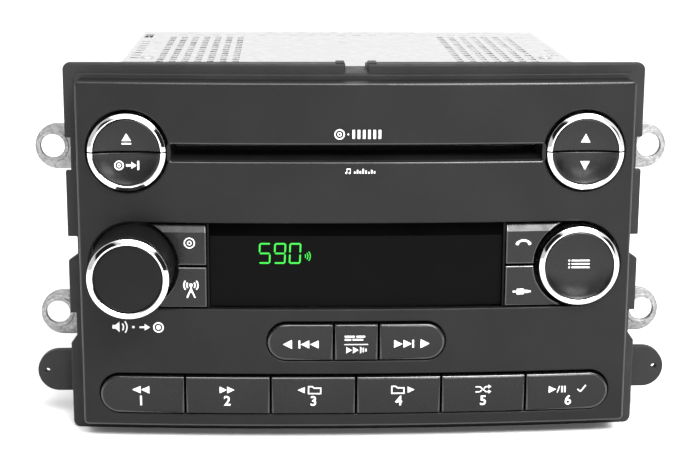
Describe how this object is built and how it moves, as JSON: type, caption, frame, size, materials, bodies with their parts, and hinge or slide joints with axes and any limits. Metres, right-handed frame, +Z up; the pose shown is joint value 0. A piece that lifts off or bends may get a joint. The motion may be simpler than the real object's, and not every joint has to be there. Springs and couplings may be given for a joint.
{
  "type": "car radio with disc slot",
  "caption": "Double-height car radio with a disc slot, a lit display, a push-and-turn volume knob, sprung buttons and a sheet-steel case with mounting ears.",
  "frame": {"origin": "middle of the footprint, on the surface the radio stands on", "axes": "+X to the right seen from the front, +Y from the front to the back, +Z up"},
  "size_m": [0.2254, 0.2242, 0.1297],
  "materials": {
    "fascia_plastic": "fine moulded texture",
    "key_plastic": "satin soft-touch",
    "chrome": "polished",
    "smoked_lens": "polished dark window",
    "galvanised": "galvanised sheet",
    "cover_steel": "bright plated sheet",
    "inner_steel": "plated",
    "heat_sink_metal": "extruded, clear",
    "circuit_board": "solder mask",
    "soft_rubber": "matt",
    "felt": "short pile",
    "moulded_black": "moulded",
    "capacitor_sleeve": "shrink sleeve",
    "fuse_plastic": "clear red",
    "display_panel": "glass over dark panel"
  },
  "bodies": {
    "radio": {"front_fascia": "fascia_plastic", "mounting_frame": "fascia_plastic", "display_lens": "smoked_lens", "chassis": "galvanised", "rear_panel": "galvanised", "bracket_left": "galvanised", "bracket_right": "galvanised", "cover_screw_left": "galvanised", "cover_screw_right": "galvanised", "top_cover": "cover_steel", "deck_frame": "inner_steel", "rail_left": "inner_steel", "rail_right": "inner_steel", "spindle_motor": "inner_steel", "tuner_module": "inner_steel", "antenna_socket": "inner_steel", "heat_sink": "heat_sink_metal", "front_board": "circuit_board", "main_board": "circuit_board", "keypad_mat": "soft_rubber", "slot_felt": "felt", "volume_encoder": "moulded_black", "amplifier_chip": "moulded_black", "main_connector": "moulded_black", "filter_capacitor": "capacitor_sleeve", "fuse": "fuse_plastic", "display_module": "display_panel"},
    "eject_key": {"button_eject": "key_plastic", "ring_eject": "chrome"},
    "load_key": {"button_load": "key_plastic", "ring_load": "chrome"},
    "up_key": {"button_up": "key_plastic", "ring_up": "chrome"},
    "down_key": {"button_down": "key_plastic", "ring_down": "chrome"},
    "menu_key": {"menu_button": "key_plastic", "menu_ring": "chrome"},
    "disc_key": {"button_disc": "key_plastic"},
    "band_key": {"button_band": "key_plastic"},
    "phone_key": {"button_phone": "key_plastic"},
    "aux_key": {"button_aux": "key_plastic"},
    "seek_down_key": {"button_seek_down": "key_plastic"},
    "scan_key": {"button_scan": "key_plastic"},
    "seek_up_key": {"button_seek_up": "key_plastic"},
    "preset_1_key": {"preset_1": "key_plastic"},
    "preset_2_key": {"preset_2": "key_plastic"},
    "preset_3_key": {"preset_3": "key_plastic"},
    "preset_4_key": {"preset_4": "key_plastic"},
    "preset_5_key": {"preset_5": "key_plastic"},
    "preset_6_key": {"preset_6": "key_plastic"},
    "volume_plunger": {"volume_shaft": "inner_steel"},
    "volume_dial": {"volume_knob": "key_plastic", "volume_ring": "chrome"},
    "roller": {"feed_roller": "soft_rubber"},
    "spindle": {"turntable": "moulded_black"},
    "sled": {"laser_sled": "moulded_black"},
    "clamp": {"clamp_arm": "inner_steel"}
  },
  "joints": [
    {"name": "eject_press", "type": "slide", "parent": "radio", "child": "eject_key", "axis": [0, 1, 0], "range_m": [0, 0.0012], "stiffness_N_per_m": 900},
    {"name": "load_press", "type": "slide", "parent": "radio", "child": "load_key", "axis": [0, 1, 0], "range_m": [0, 0.0012], "stiffness_N_per_m": 900},
    {"name": "up_press", "type": "slide", "parent": "radio", "child": "up_key", "axis": [0, 1, 0], "range_m": [0, 0.0012], "stiffness_N_per_m": 900},
    {"name": "down_press", "type": "slide", "parent": "radio", "child": "down_key", "axis": [0, 1, 0], "range_m": [0, 0.0012], "stiffness_N_per_m": 900},
    {"name": "menu_press", "type": "slide", "parent": "radio", "child": "menu_key", "axis": [0, 1, 0], "range_m": [0, 0.0012], "stiffness_N_per_m": 900},
    {"name": "disc_press", "type": "slide", "parent": "radio", "child": "disc_key", "axis": [0, 1, 0], "range_m": [0, 0.0012], "stiffness_N_per_m": 900},
    {"name": "band_press", "type": "slide", "parent": "radio", "child": "band_key", "axis": [0, 1, 0], "range_m": [0, 0.0012], "stiffness_N_per_m": 900},
    {"name": "phone_press", "type": "slide", "parent": "radio", "child": "phone_key", "axis": [0, 1, 0], "range_m": [0, 0.0012], "stiffness_N_per_m": 900},
    {"name": "aux_press", "type": "slide", "parent": "radio", "child": "aux_key", "axis": [0, 1, 0], "range_m": [0, 0.0012], "stiffness_N_per_m": 900},
    {"name": "seek_down_press", "type": "slide", "parent": "radio", "child": "seek_down_key", "axis": [0, 1, 0], "range_m": [0, 0.0012], "stiffness_N_per_m": 900},
    {"name": "scan_press", "type": "slide", "parent": "radio", "child": "scan_key", "axis": [0, 1, 0], "range_m": [0, 0.0012], "stiffness_N_per_m": 900},
    {"name": "seek_up_press", "type": "slide", "parent": "radio", "child": "seek_up_key", "axis": [0, 1, 0], "range_m": [0, 0.0012], "stiffness_N_per_m": 900},
    {"name": "preset_1_press", "type": "slide", "parent": "radio", "child": "preset_1_key", "axis": [0, 1, 0], "range_m": [0, 0.0012], "stiffness_N_per_m": 900},
    {"name": "preset_2_press", "type": "slide", "parent": "radio", "child": "preset_2_key", "axis": [0, 1, 0], "range_m": [0, 0.0012], "stiffness_N_per_m": 900},
    {"name": "preset_3_press", "type": "slide", "parent": "radio", "child": "preset_3_key", "axis": [0, 1, 0], "range_m": [0, 0.0012], "stiffness_N_per_m": 900},
    {"name": "preset_4_press", "type": "slide", "parent": "radio", "child": "preset_4_key", "axis": [0, 1, 0], "range_m": [0, 0.0012], "stiffness_N_per_m": 900},
    {"name": "preset_5_press", "type": "slide", "parent": "radio", "child": "preset_5_key", "axis": [0, 1, 0], "range_m": [0, 0.0012], "stiffness_N_per_m": 900},
    {"name": "preset_6_press", "type": "slide", "parent": "radio", "child": "preset_6_key", "axis": [0, 1, 0], "range_m": [0, 0.0012], "stiffness_N_per_m": 900},
    {"name": "volume_press", "type": "slide", "parent": "radio", "child": "volume_plunger", "axis": [0, 1, 0], "range_m": [0, 0.0012], "stiffness_N_per_m": 1500},
    {"name": "volume_turn", "type": "hinge", "parent": "volume_plunger", "child": "volume_dial", "pos_m": [-0.0759, -0.11208, 0.06178], "axis": [0, 1, 0], "continuous": true},
    {"name": "roller_turn", "type": "hinge", "parent": "radio", "child": "roller", "pos_m": [0, -0.05522, 0.09588], "axis": [1, 0, 0], "continuous": true},
    {"name": "spindle_turn", "type": "hinge", "parent": "radio", "child": "spindle", "pos_m": [0, 0.02278, 0.09768], "axis": [0, 0, 1], "continuous": true},
    {"name": "sled_slide", "type": "slide", "parent": "radio", "child": "sled", "axis": [0, 1, 0], "range_m": [0, 0.02]},
    {"name": "clamp_lift", "type": "hinge", "parent": "radio", "child": "clamp", "pos_m": [0, 0.06078, 0.10343], "axis": [-1, 0, 0], "range_deg": [0, 6], "stiffness_Nm_per_rad": 0.05}
  ]
}
